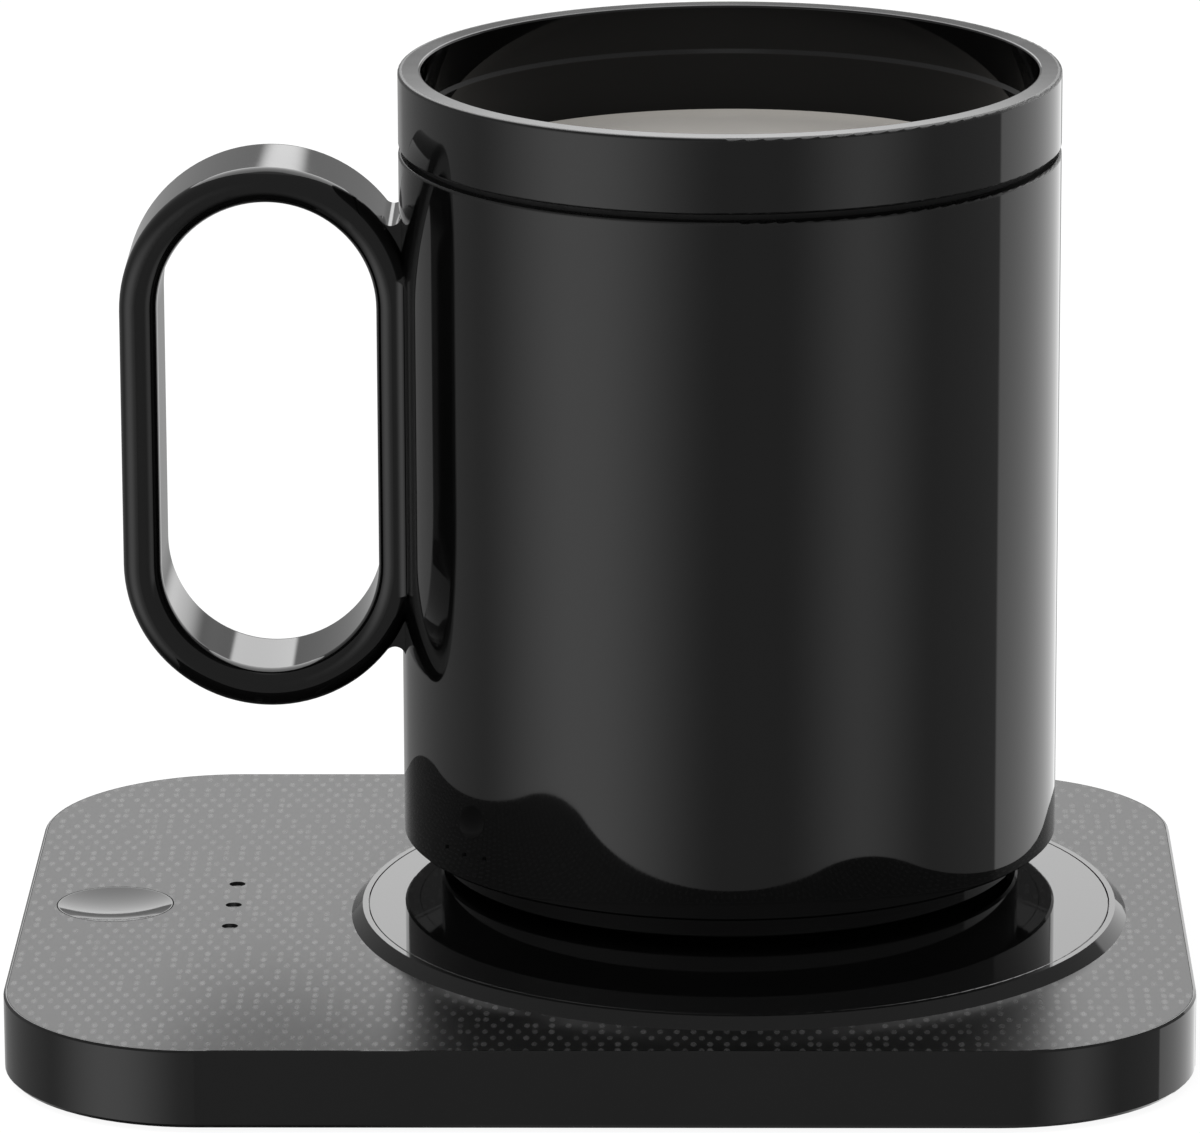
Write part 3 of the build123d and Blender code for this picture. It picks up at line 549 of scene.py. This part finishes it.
def circuitBoard(nodes):
    look = boardLook
    point = nodes.point()
    x, y = nodes.xyz(point)[:2]
    pitch, grid = look["pitch"], 2 * look["pitch"]
    lane = nodes.math("FLOOR", y / pitch)
    bend = nodes.math("ROUND", nodes.noise(point, look["bendSize"], 0.0) * 6.0) * look["bend"]
    side = nodes.math("ABSOLUTE", nodes.math("FRACT", (y + bend) / pitch) - 0.5)
    used = nodes.math("GREATER_THAN", nodes.random(lane), look["bareLanes"])
    track = nodes.ease(side, *look["trackEdge"], 1.0, 0.0) * used
    holeX = nodes.math("FRACT", x / grid) - 0.5
    holeY = nodes.math("FRACT", y / grid) - 0.5
    away = nodes.length(holeX, holeY) * grid
    chosen = nodes.random(nodes.math("FLOOR", x / grid), nodes.math("FLOOR", y / grid))
    pad = nodes.ease(away, *look["padEdge"], 1.0, 0.0) * nodes.math("GREATER_THAN", chosen, look["barePads"])
    colour = nodes.blend(track, tint(*look["mask"]), tint(*look["track"]))
    colour = nodes.blend(pad, colour, tint(*look["pad"]))
    return {"Base Color": colour, "Roughness": 0.38 - pad * 0.12, "Metallic": pad,
            "Normal": nodes.bump(track * 0.6 + pad, 0.03)}


dress(finish("circuitBoard", circuitBoard, IOR=1.5), "circuit_board")

# the etched foil: film above, bare track from just below the spreader
filmLook = {"film": (0.42, 0.17, 0.025), "track": (0.62, 0.42, 0.3), "trackBelow": 0.26}


def heatingFilm(nodes):
    point = nodes.point()
    z = nodes.xyz(point)[2]
    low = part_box("heat_spreader")[0]
    track = nodes.math("LESS_THAN", z, low.z / mm - filmLook["trackBelow"])
    wrinkle = nodes.noise(point, 2.5, 3.0)
    shade = [level * 0.6 for level in filmLook["film"]]
    film = nodes.blend(wrinkle, tint(*filmLook["film"]), tint(*shade))
    return {"Base Color": nodes.blend(track, film, tint(*filmLook["track"])), "Metallic": track,
            "Roughness": 0.3 + wrinkle * 0.15, "Normal": nodes.bump(wrinkle, 0.03)}


# gold contact strips on both faces of the inlet's tongue
contactLook = {"pitch": 0.5, "strip": 0.27, "half": 2.9, "faceFrom": 0.34, "gold": (0.85, 0.62, 0.28)}


def inletTongue(nodes):
    centre = middle("inlet_tongue")
    point = nodes.point()
    x, y, z = nodes.xyz(point)
    beside = x - centre.x
    fromStrip = nodes.math("ABSOLUTE", nodes.math("FRACT", beside / contactLook["pitch"]) - 0.5)
    strip = nodes.math("LESS_THAN", fromStrip, contactLook["strip"])
    face = nodes.math("LESS_THAN", nodes.math("ABSOLUTE", beside), contactLook["half"])
    flat = nodes.math("GREATER_THAN", nodes.math("ABSOLUTE", z - centre.z), contactLook["faceFrom"])
    gold = strip * face * flat
    grain = nodes.noise(point, 0.2, 2.0)
    return {"Base Color": nodes.blend(gold, grey(0.02), tint(*contactLook["gold"])), "Metallic": gold,
            "Roughness": 0.45 - gold * 0.2 + grain * 0.06, "Normal": nodes.bump(gold + grain * 0.2, 0.02)}


# capacitors round the chip, metal at both ends; those behind it lie the other way
capacitorLook = {"body": (0.36, 0.25, 0.15), "end": (0.66, 0.66, 0.68), "behind": 3.1, "place": 2.0, "fromEnd": 1.12}


def chipParts(nodes):
    look = capacitorLook
    centre = middle("controller_chip")
    point = nodes.point()
    x, y = nodes.xyz(point)[:2]
    behind = nodes.math("GREATER_THAN", y, centre.y + look["behind"])
    alongX = nodes.math("ABSOLUTE", nodes.math("ABSOLUTE", x - centre.x) - look["place"])
    alongY = nodes.math("ABSOLUTE", nodes.math("ABSOLUTE", y - centre.y) - look["place"])
    end = nodes.math("GREATER_THAN", alongY + behind * (alongX - alongY), look["fromEnd"])
    grain = nodes.noise(point, 0.2, 2.0)
    return {"Base Color": nodes.blend(end, tint(*look["body"]), tint(*look["end"])), "Metallic": end,
            "Roughness": 0.4 + grain * 0.15, "Normal": nodes.bump(grain, 0.01)}


# indicator lights: a pale body with a round yellow lens
ledLook = {"body": (0.72, 0.71, 0.67), "phosphor": (0.75, 0.6, 0.12), "reach": 0.45, "soft": 0.06}


def lightChip(name):
    centre = middle(name)

    def build(nodes):
        point = nodes.point()
        x, y = nodes.xyz(point)[:2]
        away = nodes.length(x - centre.x, y - centre.y)
        lens = nodes.ease(away, ledLook["reach"], ledLook["reach"] + ledLook["soft"], 1.0, 0.0)
        grain = nodes.noise(point, 0.15, 2.0)
        return {"Base Color": nodes.blend(lens, tint(*ledLook["body"]), tint(*ledLook["phosphor"])),
                "Roughness": 0.35 + grain * 0.2, "Normal": nodes.bump(grain + lens, 0.01)}

    return finish(name, build, IOR=1.5)


# power transistor: black body on a bare metal tab
powerLook = {"body": (0.02, 0.02, 0.022), "tab": (0.6, 0.6, 0.62), "tabTop": 0.52}


def powerPart(nodes):
    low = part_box("power_transistor")[0]
    point = nodes.point()
    z = nodes.xyz(point)[2]
    tab = nodes.math("LESS_THAN", z, low.z / mm + powerLook["tabTop"])
    grain = nodes.noise(point, 0.12, 3.0)
    return {"Base Color": nodes.blend(tab, tint(*powerLook["body"]), tint(*powerLook["tab"])), "Metallic": tab,
            "Roughness": 0.55 - tab * 0.25 + grain * 0.1, "Normal": nodes.bump(grain, 0.01)}


dress(finish("heatingFilm", heatingFilm, IOR=1.5), "heating_element")
dress(finish("inletTongue", inletTongue, IOR=1.5), "inlet_tongue")
dress(finish("chipParts", chipParts, IOR=1.5), "capacitors")
dress(finish("powerPart", powerPart, IOR=1.5), "power_transistor")
for number in (1, 2, 3):
    dress(lightChip(f"indicator_led_{number}"), f"indicator_led_{number}")
print("board, film and small parts done")


# the drink in the mug is a prop: a still surface that climbs a little at the wall, with painted shade in a ring
# along the wall
drinkLook = {
    "below": 13.75,
    "wall": 3.25,
    "clear": 0.06,
    "climb": 0.7,
    "climbWidth": 2.6,
    "steps": 128,
    "climbSteps": 10,
    "flatRings": (0.25, 0.5, 0.7, 0.82, 0.9),
    # edge and wallShadeColour: where the painted shade along the wall starts and ends, in millimetres from the wall,
    # and its darker colour
    "edge": (-1.5, 0.5),
    "colour": (0.5, 0.48, 0.45),
    "wallShadeColour": (0.44, 0.42, 0.39),
}


def addDrink():
    low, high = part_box("mug_liner")
    centre = (low + high) / 2
    wall = (high.x - low.x) / 2 - drinkLook["wall"] * mm - drinkLook["clear"] * mm
    level = high.z - drinkLook["below"] * mm
    reach = drinkLook["climbWidth"] * mm
    climbSteps = drinkLook["climbSteps"]
    rings = [wall * share for share in drinkLook["flatRings"]]
    rings += [wall - reach * (1 - step / climbSteps) for step in range(climbSteps + 1)]
    mesh = bmesh.new()
    columns = []
    for step in range(drinkLook["steps"]):
        turn = 2 * math.pi * step / drinkLook["steps"]
        column = []
        for radius in rings:
            near = max(0.0, 1 - (wall - radius) / reach)
            height = level + drinkLook["climb"] * mm * near ** 3
            x, y = centre.x + radius * math.cos(turn), centre.y + radius * math.sin(turn)
            column.append(mesh.verts.new((x, y, height)))
        columns.append(column)
    hub = mesh.verts.new((centre.x, centre.y, level))
    for step, column in enumerate(columns):
        following = columns[(step + 1) % len(columns)]
        mesh.faces.new((hub, column[0], following[0]))
        for ring in range(len(column) - 1):
            mesh.faces.new((column[ring], column[ring + 1], following[ring + 1], following[ring]))
    surface = bpy.data.meshes.new("drink")
    mesh.to_mesh(surface)
    mesh.free()
    for face in surface.polygons:
        face.use_smooth = True
    drink = bpy.data.objects.new("drink", surface)
    bpy.context.scene.collection.objects.link(drink)

    def build(nodes):
        point = nodes.point()
        x, y = nodes.xyz(point)[:2]
        away = nodes.length(x - centre.x / mm, y - centre.y / mm)
        froth = nodes.noise(point, 5.0, 4.0)
        # painted shade: the drink is coloured darker near the mug's wall, where the wall shades it; the froth noise
        # makes the ring's inner edge uneven
        edge = nodes.ease(away + froth * 1.5, *(wall / mm + offset for offset in drinkLook["edge"]))
        return {"Base Color": nodes.blend(edge, tint(*drinkLook["colour"]), tint(*drinkLook["wallShadeColour"])),
                "Roughness": 0.3 + froth * 0.2, "Normal": nodes.bump(froth, 0.02)}

    surface.materials.append(finish("drink", build, IOR=1.34))
    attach(drink, "mug")


addDrink()
print("drink poured")

print("scene ready")
